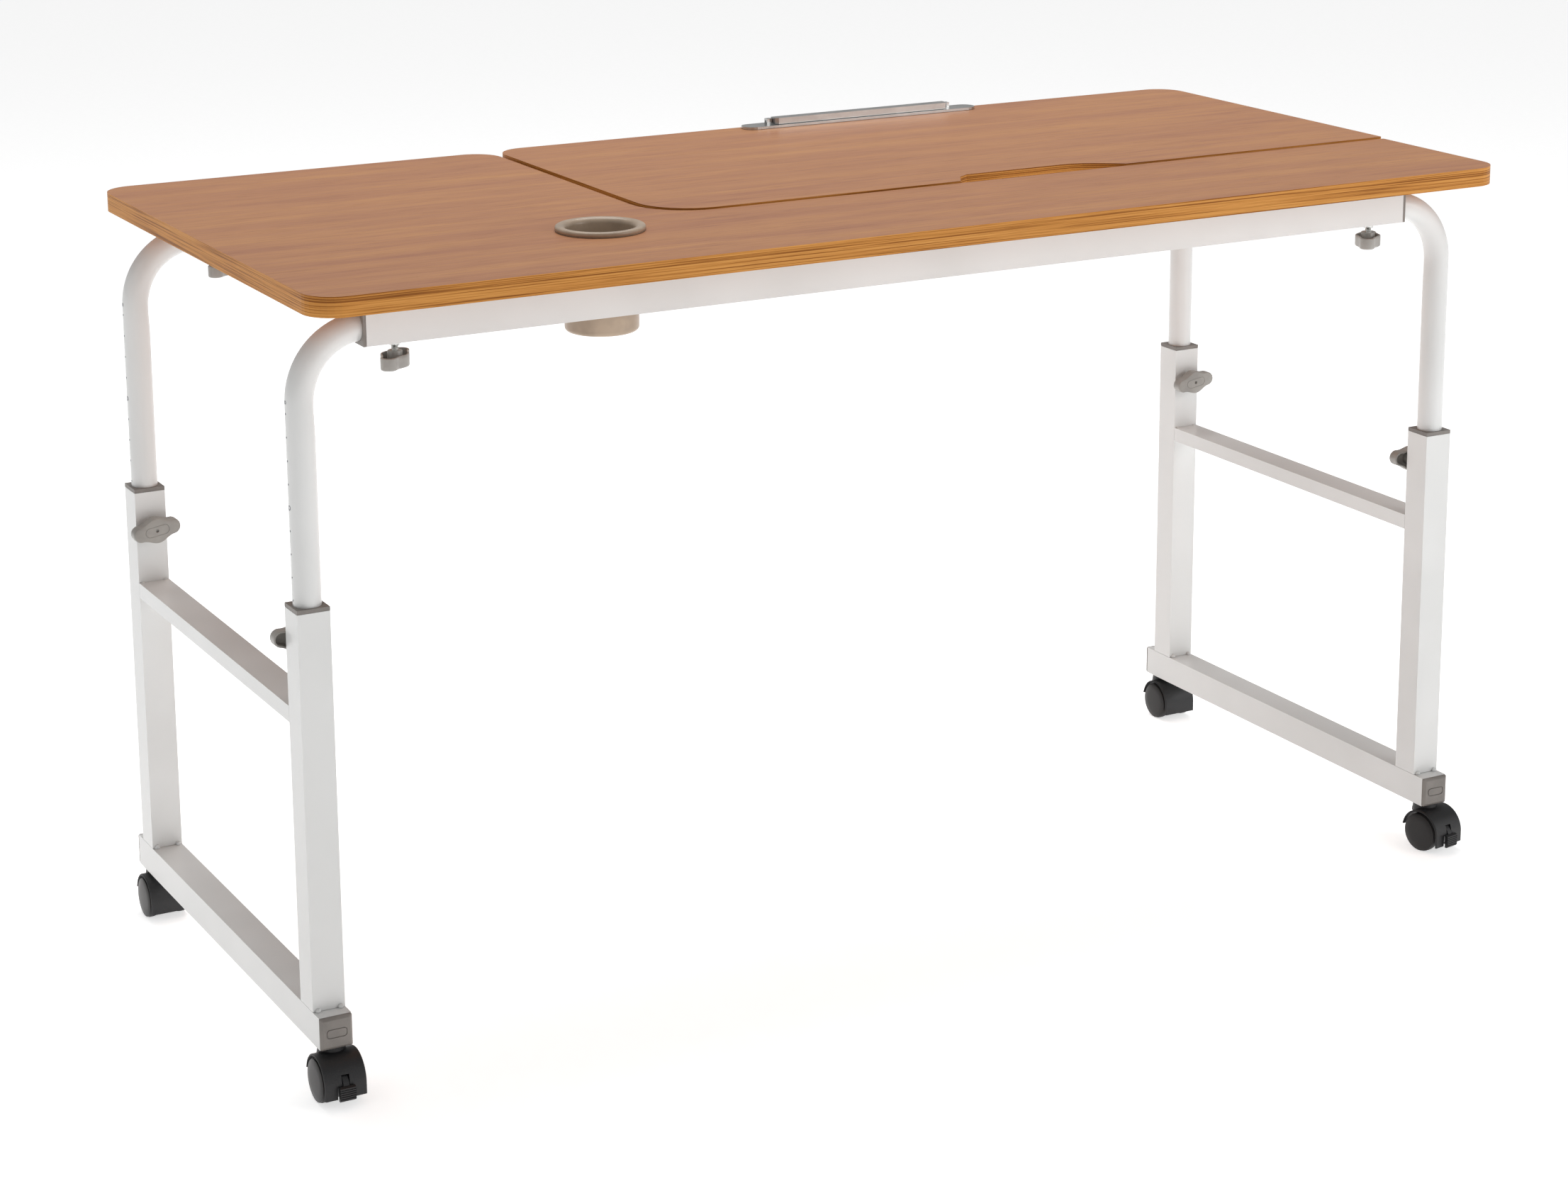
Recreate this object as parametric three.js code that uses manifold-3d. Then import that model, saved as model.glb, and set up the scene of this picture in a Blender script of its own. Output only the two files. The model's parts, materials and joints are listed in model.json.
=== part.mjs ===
// Overbed table: a long top on two wheeled side frames that slide out for width and up for height.
// Millimetres, +Z up, origin on the floor under the middle of the table, long side along X, front at -Y.
import * as THREE from 'three';
import { mergeVertices } from 'three/addons/utils/BufferGeometryUtils.js';
import Module from 'manifold-3d';

const wasm = await Module();
wasm.setup();

// ---- driving dimensions ----
const GAP = 0.3; // clearance between touching pieces

const board = { length: 1245, depth: 580, thickness: 18, shiftX: 7, topZ: 725, cornerR: 30 };
const panel = { leftX: -209, frontY: -99, sideGap: 5, frontGap: 2.5, rise: 1.5, innerR: 55, rearR: 30 };
const recess = { fromX: 112, toX: 304, depth: 28 };
const cup = { x: -292, y: -139, rimR: 41, bodyR: 34, wall: 2.5, bottomZ: 633, rimRise: 5 };

const beam = { length: 1100, width: 30, height: 39.7, wall: 1.2 };
const rail = { x: 400, width: 20, height: 20, wall: 1.2 };
const bushing = { flange: 2.5, plugLength: 30, holeR: 13.2 };

const tube = { r: 12.5, wall: 1.5, bendR: 60, axisZ: 682.5, bottomZ: 222, reach: 280 };
const leg = { x: 606.5, y: 221, width: 30, wall: 1.2, topZ: 441 };
const sleeve = { flange: 3.5, plugLength: 40, holeR: 12.8 };
const foot = { bottomZ: 48, height: 30, halfLength: 250, capThickness: 3.5, capPlug: 7 };
const crossbar = { bottomZ: 336.5, height: 15 };

const knob = { wingHalf: 23.5, centreHalf: 12.5, endR: 7.5, thickness: 11, shell: 2, hubR: 6.5, hubOut: 3 };
const stud = { r: 3, holeR: 3.6 };
const legKnob = { z: 406.5, standoff: 5, turn: 9 };
const beamKnob = { x: 519, standoff: 9, turn: -50 };

const wheel = { r: 20, width: 9, boreR: 3.2 };
const caster = { stemY: 238, trail: 10, width: 40, hoodR: 23, hoodInnerR: 21.2, neckR: 12.5, stemR: 4, axleR: 2.8 };
const brake = { width: 12, sweep: 18 };

const stopPlate = { centreX: 215, length: 285, y: 278, width: 24, thickness: 2.5 };
const stopBar = { length: 212, depth: 13, height: 6.4, pinR: 1.2, earHoleR: 1.7, earLength: 6 };
const hinge = { xs: [60, 480], y: 262, z: 700, knuckleR: 4, pinR: 1.5, boreR: 2.2, length: 50 };

// ---- materials ----
const finish = (color, roughness, metalness) => new THREE.MeshStandardMaterial({ color, roughness, metalness });
const laminate = finish('#b08763', 0.45, 0);
const whitePaint = finish('#e9e9e6', 0.35, 0);
const greyPlastic = finish('#8b8782', 0.5, 0);
const knobPlastic = finish('#85827c', 0.4, 0);
const greigePlastic = finish('#b3a08e', 0.3, 0);
const blackPlastic = finish('#17171a', 0.5, 0);
const wheelPlastic = finish('#3a3b40', 0.45, 0);
const brushedMetal = finish('#a5a6a6', 0.35, 0.9);
const zincSteel = finish('#b9bbbc', 0.35, 0.9);

const table = new THREE.Group();

function addPiece(name, geometry, material) {
  const mesh = new THREE.Mesh(geometry, material);
  mesh.name = name;
  table.add(mesh);
  return mesh;
}

// ---- solid modelling helpers ----
function toSolid(geometry) {
  const plain = new THREE.BufferGeometry();
  plain.setAttribute('position', geometry.getAttribute('position').clone());
  if (geometry.index) {
    plain.setIndex(geometry.index.clone());
  }
  const merged = mergeVertices(plain, 1e-4);
  const mesh = new wasm.Mesh({
    numProp: 3,
    vertProperties: new Float32Array(merged.getAttribute('position').array),
    triVerts: new Uint32Array(merged.index.array),
  });
  return new wasm.Manifold(mesh);
}

function toGeometry(solid) {
  const mesh = solid.getMesh();
  const geometry = new THREE.BufferGeometry();
  geometry.setAttribute('position', new THREE.BufferAttribute(new Float32Array(mesh.vertProperties), 3));
  geometry.setIndex(new THREE.BufferAttribute(new Uint32Array(mesh.triVerts), 1));
  geometry.computeVertexNormals();
  return geometry;
}

const join = (...solids) => solids.reduce((whole, piece) => whole.add(piece));
const cut = (solid, ...tools) => tools.reduce((left, tool) => left.subtract(tool), solid);

function boxGeometry(x0, x1, y0, y1, z0, z1) {
  const box = new THREE.BoxGeometry(x1 - x0, y1 - y0, z1 - z0);
  return box.translate((x0 + x1) / 2, (y0 + y1) / 2, (z0 + z1) / 2);
}

const boxSolid = (...corners) => toSolid(boxGeometry(...corners));

// A cylinder between two values along one axis, centred on the two other coordinates.
function cylinderSolid(axis, r, from, to, centre, sides = 12) {
  const rod = new THREE.CylinderGeometry(r, r, to - from, sides);
  const middle = (from + to) / 2;
  if (axis === 'x') {
    rod.rotateZ(-Math.PI / 2).translate(middle, centre[0], centre[1]);
  } else if (axis === 'y') {
    rod.translate(centre[0], middle, centre[1]);
  } else {
    rod.rotateX(Math.PI / 2).translate(centre[0], centre[1], middle);
  }
  return toSolid(rod);
}

function plateGeometry(shape, z0, z1, curveSegments = 4) {
  const plate = new THREE.ExtrudeGeometry(shape, { depth: z1 - z0, bevelEnabled: false, curveSegments });
  return plate.translate(0, 0, z0);
}

// ---- top: fixed board and tilting panel ----
const boardLeft = board.shiftX - board.length / 2;
const boardRight = board.shiftX + board.length / 2;
const boardFront = -board.depth / 2;
const boardRear = board.depth / 2;
const boardBottom = board.topZ - board.thickness;
const panelLeft = board.shiftX + panel.leftX;
const smallR = 2;

function fixedTopShape() {
  const edgeX = panelLeft - panel.sideGap;
  const edgeY = panel.frontY - panel.frontGap;
  const innerR = panel.innerR + panel.sideGap;
  const shape = new THREE.Shape();
  shape.moveTo(boardLeft + board.cornerR, boardFront);
  shape.absarc(boardRight - board.cornerR, boardFront + board.cornerR, board.cornerR, -Math.PI / 2, 0);
  shape.absarc(boardRight - smallR, edgeY - smallR, smallR, 0, Math.PI / 2);
  shape.absarc(edgeX + innerR, edgeY + innerR, innerR, -Math.PI / 2, -Math.PI, true);
  shape.absarc(edgeX - panel.rearR, boardRear - panel.rearR, panel.rearR, 0, Math.PI / 2);
  shape.absarc(boardLeft + board.cornerR, boardRear - board.cornerR, board.cornerR, Math.PI / 2, Math.PI);
  shape.absarc(boardLeft + board.cornerR, boardFront + board.cornerR, board.cornerR, Math.PI, 1.5 * Math.PI);
  const holePoints = [];
  for (let i = 0; i < 24; i += 1) {
    const angle = (-i / 24) * 2 * Math.PI;
    const r = cup.bodyR + 2;
    holePoints.push(new THREE.Vector2(board.shiftX + cup.x + r * Math.cos(angle), cup.y + r * Math.sin(angle)));
  }
  shape.holes.push(new THREE.Path(holePoints));
  return shape;
}

// The finger recess is a long shallow scoop: steep at its left end, easing out to the right.
function recessDepthAt(share) {
  const rampIn = Math.min(1, share / 0.12);
  const rampOut = Math.min(1, (1 - share) / 0.3);
  return recess.depth * Math.sin((rampIn * Math.PI) / 2) * Math.sin((rampOut * Math.PI) / 2);
}

function panelShape() {
  const shape = new THREE.Shape();
  const recessSteps = 16;
  shape.moveTo(panelLeft + panel.innerR, panel.frontY);
  for (let i = 0; i <= recessSteps; i += 1) {
    const share = i / recessSteps;
    const x = board.shiftX + recess.fromX + share * (recess.toX - recess.fromX);
    shape.lineTo(x, panel.frontY + recessDepthAt(share));
  }
  shape.absarc(boardRight - smallR, panel.frontY + smallR, smallR, -Math.PI / 2, 0);
  shape.absarc(boardRight - board.cornerR, boardRear - board.cornerR, board.cornerR, 0, Math.PI / 2);
  shape.absarc(panelLeft + panel.rearR, boardRear - panel.rearR, panel.rearR, Math.PI / 2, Math.PI);
  shape.absarc(panelLeft + panel.innerR, panel.frontY + panel.innerR, panel.innerR, Math.PI, 1.5 * Math.PI);
  return shape;
}

addPiece('fixed_top', plateGeometry(fixedTopShape(), boardBottom, board.topZ), laminate);
const panelBottom = boardBottom + panel.rise;
const panelTop = board.topZ + panel.rise;
addPiece('tilt_panel', plateGeometry(panelShape(), panelBottom, panelTop), laminate);

// ---- cup holder: a turned cup hanging by its rim in the board's hole ----
function cupHolder() {
  const rimBottom = board.topZ + GAP;
  const rimTop = board.topZ + cup.rimRise;
  const innerR = cup.bodyR - cup.wall;
  const profile = [
    [0, cup.bottomZ],
    [cup.bodyR - 3, cup.bottomZ],
    [cup.bodyR - 0.9, cup.bottomZ + 0.9],
    [cup.bodyR, cup.bottomZ + 3],
    [cup.bodyR, rimBottom],
    [cup.rimR, rimBottom],
    [cup.rimR + 0.4, rimBottom + 1.6],
    [cup.rimR - 0.8, rimTop - 0.9],
    [cup.rimR - 3, rimTop],
    [innerR + 1.6, rimTop - 0.8],
    [innerR, rimTop - 4],
    [innerR, cup.bottomZ + cup.wall],
    [0, cup.bottomZ + cup.wall],
  ];
  const points = profile.map(([r, z]) => new THREE.Vector2(r, z));
  const turned = new THREE.LatheGeometry(points, 24);
  turned.rotateX(Math.PI / 2).translate(board.shiftX + cup.x, cup.y, 0);
  return toGeometry(toSolid(turned));
}
addPiece('cup_holder', cupHolder(), greigePlastic);

// ---- book stop on the panel's rear edge ----
const stopX = board.shiftX + stopPlate.centreX;
const plateBottom = panelTop + GAP;
const plateTop = plateBottom + stopPlate.thickness;
const barBottom = plateTop + 0.5;
const barRearY = stopPlate.y + 5;
const pivot = { y: barRearY - 1.2, z: barBottom + 1.8 };

function stopPlateShape() {
  const r = stopPlate.width / 2;
  const half = stopPlate.length / 2 - r;
  const shape = new THREE.Shape();
  shape.moveTo(stopX - half, stopPlate.y - r);
  shape.absarc(stopX + half, stopPlate.y, r, -Math.PI / 2, Math.PI / 2);
  shape.absarc(stopX - half, stopPlate.y, r, Math.PI / 2, 1.5 * Math.PI);
  return shape;
}

function stopBase() {
  const ears = [-1, 1].map((side) => {
    const inner = stopX + side * (stopBar.length / 2 + 0.6);
    const outer = inner + side * stopBar.earLength;
    const x0 = Math.min(inner, outer);
    const x1 = Math.max(inner, outer);
    const ear = boxSolid(x0, x1, pivot.y - 3.2, pivot.y + 3.2, plateBottom + 1, pivot.z + 3.2);
    return cut(ear, cylinderSolid('x', stopBar.earHoleR, x0 - 1, x1 + 1, [pivot.y, pivot.z], 12));
  });
  const plate = toSolid(plateGeometry(stopPlateShape(), plateBottom, plateTop, 5));
  return toGeometry(join(plate, ...ears));
}

function flipBar() {
  const half = stopBar.length / 2;
  const chamfer = 3;
  const outline = new THREE.Shape();
  outline.moveTo(stopX - half + chamfer, barRearY - stopBar.depth);
  outline.lineTo(stopX + half - chamfer, barRearY - stopBar.depth);
  outline.lineTo(stopX + half, barRearY - stopBar.depth + chamfer);
  outline.lineTo(stopX + half, barRearY);
  outline.lineTo(stopX - half, barRearY);
  outline.lineTo(stopX - half, barRearY - stopBar.depth + chamfer);
  const body = toSolid(plateGeometry(outline, barBottom, barBottom + stopBar.height));
  const pinEnd = half + stopBar.earLength;
  const pin = cylinderSolid('x', stopBar.pinR, stopX - pinEnd, stopX + pinEnd, [pivot.y, pivot.z], 10);
  return toGeometry(join(body, pin));
}
addPiece('stop_plate', stopBase(), brushedMetal);
addPiece('stop_flip_bar', flipBar(), brushedMetal);

// ---- panel hinges under its rear edge ----
const beamRear = leg.y + beam.width / 2;
const hingeLeaf = 2;

function hingeKnuckle(x0, x1) {
  return cylinderSolid('x', hinge.knuckleR, x0, x1, [hinge.y, hinge.z], 10);
}

function fixedHingeLeaf(x) {
  const half = hinge.length / 2;
  const plate = boxSolid(x - half, x + half, beamRear + GAP, beamRear + GAP + hingeLeaf, hinge.z - 22, hinge.z + 2);
  const arms = [-1, 1].map((side) => {
    const x0 = x + (side < 0 ? -half : half - 14);
    const arm = boxSolid(x0, x0 + 14, beamRear + GAP, hinge.y, hinge.z - 2.5, hinge.z);
    return join(arm, hingeKnuckle(x0, x0 + 14));
  });
  const pin = cylinderSolid('x', hinge.pinR, x - half, x + half, [hinge.y, hinge.z], 8);
  return toGeometry(join(plate, ...arms, pin));
}

function movingHingeLeaf(x) {
  const half = hinge.length / 2 - 14.5;
  const top = panelBottom - GAP;
  const plate = boxSolid(x - 22, x + 22, beamRear + 8, boardRear - 6, top - hingeLeaf, top);
  const web = boxSolid(x - half, x + half, hinge.y - 2, hinge.y + 2, hinge.z, top - 1);
  const bore = cylinderSolid('x', hinge.boreR, x - half - 1, x + half + 1, [hinge.y, hinge.z], 8);
  return toGeometry(cut(join(plate, web, hingeKnuckle(x - half, x + half)), bore));
}

hinge.xs.forEach((x, i) => {
  const side = i === 0 ? 'left' : 'right';
  addPiece(`${side}_hinge_fixed_leaf`, fixedHingeLeaf(x), zincSteel);
  addPiece(`${side}_hinge_panel_leaf`, movingHingeLeaf(x), zincSteel);
});

// ---- rectangular tubes ----
function hollowAlongX(x0, x1, yc, width, z0, height, wall) {
  const outer = boxSolid(x0, x1, yc - width / 2, yc + width / 2, z0, z0 + height);
  const half = width / 2 - wall;
  const inner = boxSolid(x0 - 1, x1 + 1, yc - half, yc + half, z0 + wall, z0 + height - wall);
  return cut(outer, inner);
}

function hollowAlongY(y0, y1, xc, width, z0, height, wall) {
  const outer = boxSolid(xc - width / 2, xc + width / 2, y0, y1, z0, z0 + height);
  const half = width / 2 - wall;
  const inner = boxSolid(xc - half, xc + half, y0 - 1, y1 + 1, z0 + wall, z0 + height - wall);
  return cut(outer, inner);
}

// ---- beams, rails and beam-end bushings ----
const beamTop = boardBottom - GAP;
const beamBottom = beamTop - beam.height;
const beamHalf = beam.length / 2;
const sides = [{ name: 'left', sign: -1 }, { name: 'right', sign: 1 }];
const rows = [{ name: 'front', sign: -1 }, { name: 'rear', sign: 1 }];

for (const row of rows) {
  const y = row.sign * leg.y;
  const tubeSolid = hollowAlongX(-beamHalf, beamHalf, y, beam.width, beamBottom, beam.height, beam.wall);
  const holes = sides.map((side) => cylinderSolid(
    'z', stud.holeR, beamBottom - 1, beamBottom + beam.wall + 1, [side.sign * beamKnob.x, y], 10,
  ));
  addPiece(`${row.name}_beam`, toGeometry(cut(tubeSolid, ...holes)), whitePaint);
}

for (const side of sides) {
  const end = leg.y - beam.width / 2 - GAP;
  const railSolid = hollowAlongY(-end, end, side.sign * rail.x, rail.width, beamTop - rail.height, rail.height, rail.wall);
  addPiece(`${side.name}_cross_rail`, toGeometry(railSolid), whitePaint);
}

// A bushing is a square-shouldered plug with a round bore: its flange sits on the tube's end.
function beamBushing(side, row) {
  const y = row.sign * leg.y;
  const inside = beam.wall + 0.2;
  const face = side.sign * (beamHalf + GAP);
  const outer = face + side.sign * bushing.flange;
  const deep = side.sign * (beamHalf - bushing.plugLength);
  const half = beam.width / 2;
  const span = (a, b) => [Math.min(a, b), Math.max(a, b)];
  const flange = boxSolid(...span(face, outer), y - half, y + half, beamBottom, beamTop);
  const plug = boxSolid(...span(outer, deep), y - half + inside, y + half - inside, beamBottom + inside, beamTop - inside);
  const studSlot = cylinderSolid(
    'z', stud.holeR, beamBottom, tube.axisZ, [side.sign * beamKnob.x, y], 12,
  );
  const bore = cylinderSolid('x', bushing.holeR, ...span(outer + side.sign, deep - side.sign), [y, tube.axisZ], 20);
  return toGeometry(cut(join(flange, plug), bore, studSlot));
}

// ---- L-bent tubes: the arm slides in the beam, the upright slides in the leg ----
// The path runs up the upright, round the bend and along the arm in one straight step, an even bend and another.
class BentPath extends THREE.Curve {
  constructor(side, y, bendSteps) {
    super();
    this.side = side;
    this.y = y;
    this.bendSteps = bendSteps;
  }

  station(index) {
    const startX = this.side * leg.x;
    const bendStartZ = tube.axisZ - tube.bendR;
    if (index <= 0) {
      return { x: startX, z: tube.bottomZ, angle: 0 };
    }
    if (index > this.bendSteps + 1) {
      return { x: this.side * (beamHalf - tube.reach), z: tube.axisZ, angle: Math.PI / 2 };
    }
    const angle = ((index - 1) / this.bendSteps) * (Math.PI / 2);
    return {
      x: startX - this.side * tube.bendR * (1 - Math.cos(angle)),
      z: bendStartZ + tube.bendR * Math.sin(angle),
      angle,
    };
  }

  getPointAt(u) {
    const { x, z } = this.station(Math.round(u * (this.bendSteps + 2)));
    return new THREE.Vector3(x, this.y, z);
  }

  getPoint(u) {
    return this.getPointAt(u);
  }

  getTangentAt(u) {
    const { angle } = this.station(Math.round(u * (this.bendSteps + 2)));
    return new THREE.Vector3(-this.side * Math.sin(angle), 0, Math.cos(angle));
  }
}

function bentTube(side, row) {
  const bendSteps = 8;
  const section = new THREE.Shape();
  section.absarc(0, 0, tube.r, 0, 2 * Math.PI);
  const hole = new THREE.Path();
  hole.absarc(0, 0, tube.r - tube.wall, 0, 2 * Math.PI, true);
  section.holes.push(hole);
  return new THREE.ExtrudeGeometry(section, {
    steps: bendSteps + 2,
    curveSegments: 8,
    extrudePath: new BentPath(side.sign, row.sign * leg.y, bendSteps),
    bevelEnabled: false,
  });
}

// ---- knobs: a hollow-backed wing on a hub, with its threaded stud ----
function wingOutline(inset) {
  const flat = 16;
  const endR = knob.endR - inset;
  const bulge = knob.centreHalf - knob.endR;
  const top = [];
  for (let i = -4; i <= 4; i += 1) {
    const x = (i / 4) * flat;
    top.push([x, endR + bulge * (0.5 + 0.5 * Math.cos((Math.PI * x) / flat))]);
  }
  const shape = new THREE.Shape();
  shape.absarc(-flat, 0, endR, Math.PI / 2, 1.5 * Math.PI);
  top.forEach(([x, y]) => shape.lineTo(x, -y));
  shape.absarc(flat, 0, endR, -Math.PI / 2, Math.PI / 2);
  top.slice(1, -1).reverse().forEach(([x, y]) => shape.lineTo(x, y));
  return shape;
}

// Along +Z from the surface it clamps on: standoff, hub, then the wing; the stud reaches down into the tube.
function knobSolid(standoff, reach) {
  const wingBack = standoff + knob.hubOut;
  const wingFront = wingBack + knob.thickness;
  const wing = toSolid(plateGeometry(wingOutline(0), wingBack, wingFront, 3));
  const pocket = toSolid(plateGeometry(wingOutline(knob.shell), wingBack - 1, wingFront - knob.shell, 3));
  const hub = cylinderSolid('z', knob.hubR, standoff, wingFront - 1, [0, 0], 12);
  const screw = cylinderSolid('z', stud.r, -reach, wingFront - 2, [0, 0], 8);
  return toGeometry(join(cut(wing, pocket), hub, screw));
}

// ---- casters: a hooded twin-wheel swivel, wheels trailing towards the front ----
function casterHousing(braked) {
  const half = caster.width / 2;
  const innerHalf = half - wheel.width - 1;
  const hubZ = wheel.r;
  const trailY = -caster.trail;
  const shell = cut(
    cylinderSolid('x', caster.hoodR, -half + 1, half - 1, [trailY, hubZ], 24),
    cylinderSolid('x', caster.hoodInnerR, -half - 1, half + 1, [trailY, hubZ], 24),
    boxSolid(-half - 1, half + 1, trailY - 30, trailY + 30, -10, 12),
  );
  const core = cut(
    cylinderSolid('x', caster.hoodInnerR + 1, -innerHalf, innerHalf, [trailY, hubZ], 24),
    boxSolid(-half, half, trailY - 30, trailY + 30, -10, 10),
  );
  const neck = cylinderSolid('z', caster.neckR, hubZ + 8, foot.bottomZ - GAP, [0, 0], 16);
  const neckClear = [-1, 1].map((side) => {
    const inner = side * innerHalf;
    const outer = side * (half + 1);
    return cylinderSolid(
      'x', caster.hoodInnerR, Math.min(inner, outer), Math.max(inner, outer), [trailY, hubZ], 24,
    );
  });
  const stem = cylinderSolid('z', caster.stemR, foot.bottomZ - 2, foot.bottomZ + foot.height - 4, [0, 0], 8);
  const axle = cylinderSolid('x', caster.axleR, -half + 2, half - 2, [trailY, hubZ], 8);
  const parts = join(shell, core, cut(neck, ...neckClear), stem, axle);
  if (!braked) {
    return toGeometry(parts);
  }
  const slotHalf = brake.width / 2 + 0.5;
  const slot = boxSolid(-slotHalf, slotHalf, trailY - 30, trailY - 9, 5, hubZ + 10);
  return toGeometry(cut(parts, slot));
}

function casterWheel(side) {
  const half = caster.width / 2;
  const near = side * (half - wheel.width - 0.4);
  const far = side * (half - 0.4);
  const x0 = Math.min(near, far);
  const x1 = Math.max(near, far);
  // flat facets touch the true radius, and one of them lies on the floor
  const sidesRound = 24;
  const cornerR = wheel.r / Math.cos(Math.PI / sidesRound);
  const profile = [
    [wheel.boreR, x0],
    [cornerR, x0],
    [cornerR, x1],
    [wheel.boreR, x1],
    [wheel.boreR, x0],
  ].map(([r, x]) => new THREE.Vector2(r, x));
  const turned = new THREE.LatheGeometry(profile, sidesRound, Math.PI / sidesRound);
  turned.rotateZ(-Math.PI / 2).translate(0, -caster.trail, wheel.r);
  return toGeometry(toSolid(turned));
}

// The brake pedal pivots in the hood's slot: a short arm and a foot pad that stands out in front.
const brakePivot = { y: -caster.trail - 12, z: wheel.r + 5 };

function brakePedal() {
  const half = brake.width / 2;
  const outline = new THREE.Shape();
  outline.moveTo(brakePivot.y + 2, brakePivot.z + 3.5);
  outline.lineTo(brakePivot.y - 7.5, brakePivot.z + 3.5);
  outline.lineTo(brakePivot.y - 11, brakePivot.z - 4);
  outline.lineTo(brakePivot.y - 16, brakePivot.z - 8);
  outline.lineTo(brakePivot.y - 15.5, brakePivot.z - 15);
  outline.lineTo(brakePivot.y - 9.5, brakePivot.z - 16.5);
  outline.lineTo(brakePivot.y - 7, brakePivot.z - 7);
  outline.lineTo(brakePivot.y + 2, brakePivot.z - 2.5);
  const pedal = new THREE.ExtrudeGeometry(outline, { depth: 2 * half, bevelEnabled: false });
  // the outline is drawn in Y and Z: stand it up and centre it across X
  const stand = new THREE.Matrix4().makeBasis(
    new THREE.Vector3(0, 1, 0), new THREE.Vector3(0, 0, 1), new THREE.Vector3(1, 0, 0),
  );
  return pedal.applyMatrix4(stand).translate(-half, 0, 0);
}

function addCaster(name, x, stemY, turnDeg, braked) {
  const place = new THREE.Group();
  place.position.set(x, stemY, 0);
  place.rotation.z = THREE.MathUtils.degToRad(turnDeg);
  table.add(place);
  const put = (suffix, geometry, material) => {
    const mesh = new THREE.Mesh(geometry, material);
    mesh.name = `${name}_${suffix}`;
    place.add(mesh);
  };
  put('caster_housing', casterHousing(braked), blackPlastic);
  put('caster_wheel_a', casterWheel(-1), wheelPlastic);
  put('caster_wheel_b', casterWheel(1), wheelPlastic);
  if (braked) {
    put('brake_pedal', brakePedal(), blackPlastic);
  }
}

// ---- side frames ----
function legTube(side, row) {
  const x = side.sign * leg.x;
  const y = row.sign * leg.y;
  const half = leg.width / 2;
  const inner = half - leg.wall;
  const z0 = foot.bottomZ + foot.height + GAP;
  const outerBox = boxSolid(x - half, x + half, y - half, y + half, z0, leg.topZ);
  const innerBox = boxSolid(x - inner, x + inner, y - inner, y + inner, z0 - 1, leg.topZ + 1);
  const faceY = y - row.sign * half;
  const hole = cylinderSolid('y', stud.holeR, faceY - 3, faceY + 3, [x, legKnob.z], 12);
  return toGeometry(cut(outerBox, innerBox, hole));
}

function legSleeve(side, row) {
  const x = side.sign * leg.x;
  const y = row.sign * leg.y;
  const half = leg.width / 2;
  const plugHalf = half - leg.wall - 0.2;
  const seat = leg.topZ + GAP;
  const flange = boxSolid(x - half, x + half, y - half, y + half, seat, seat + sleeve.flange);
  const plug = boxSolid(x - plugHalf, x + plugHalf, y - plugHalf, y + plugHalf, leg.topZ - sleeve.plugLength, seat + 1);
  const bore = cylinderSolid('z', sleeve.holeR, leg.topZ - sleeve.plugLength - 1, seat + sleeve.flange + 1, [x, y], 20);
  const faceY = y - row.sign * half;
  const window = cylinderSolid('y', stud.holeR, faceY - 6, faceY + 6, [x, legKnob.z], 12);
  return toGeometry(cut(join(flange, plug), bore, window));
}

function footBar(side) {
  const x = side.sign * leg.x;
  const bar = hollowAlongY(-foot.halfLength, foot.halfLength, x, leg.width, foot.bottomZ, foot.height, leg.wall);
  const holes = rows.map((row) => cylinderSolid(
    'z', caster.stemR + 0.4, foot.bottomZ - 1, foot.bottomZ + leg.wall + 1, [x, row.sign * caster.stemY], 12,
  ));
  return toGeometry(cut(bar, ...holes));
}

function footCap(side, row) {
  const x = side.sign * leg.x;
  const half = leg.width / 2;
  const plugHalf = half - leg.wall - 0.3;
  const face = row.sign * (foot.halfLength + GAP);
  const outer = face + row.sign * foot.capThickness;
  const deep = row.sign * (foot.halfLength - foot.capPlug);
  const z0 = foot.bottomZ;
  const inset = leg.wall + 0.3;
  const span = (a, b) => [Math.min(a, b), Math.max(a, b)];
  const head = boxSolid(x - half, x + half, ...span(face, outer), z0, z0 + foot.height);
  const plug = boxSolid(x - plugHalf, x + plugHalf, ...span(outer, deep), z0 + inset, z0 + foot.height - inset);
  return toGeometry(join(head, plug));
}

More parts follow.
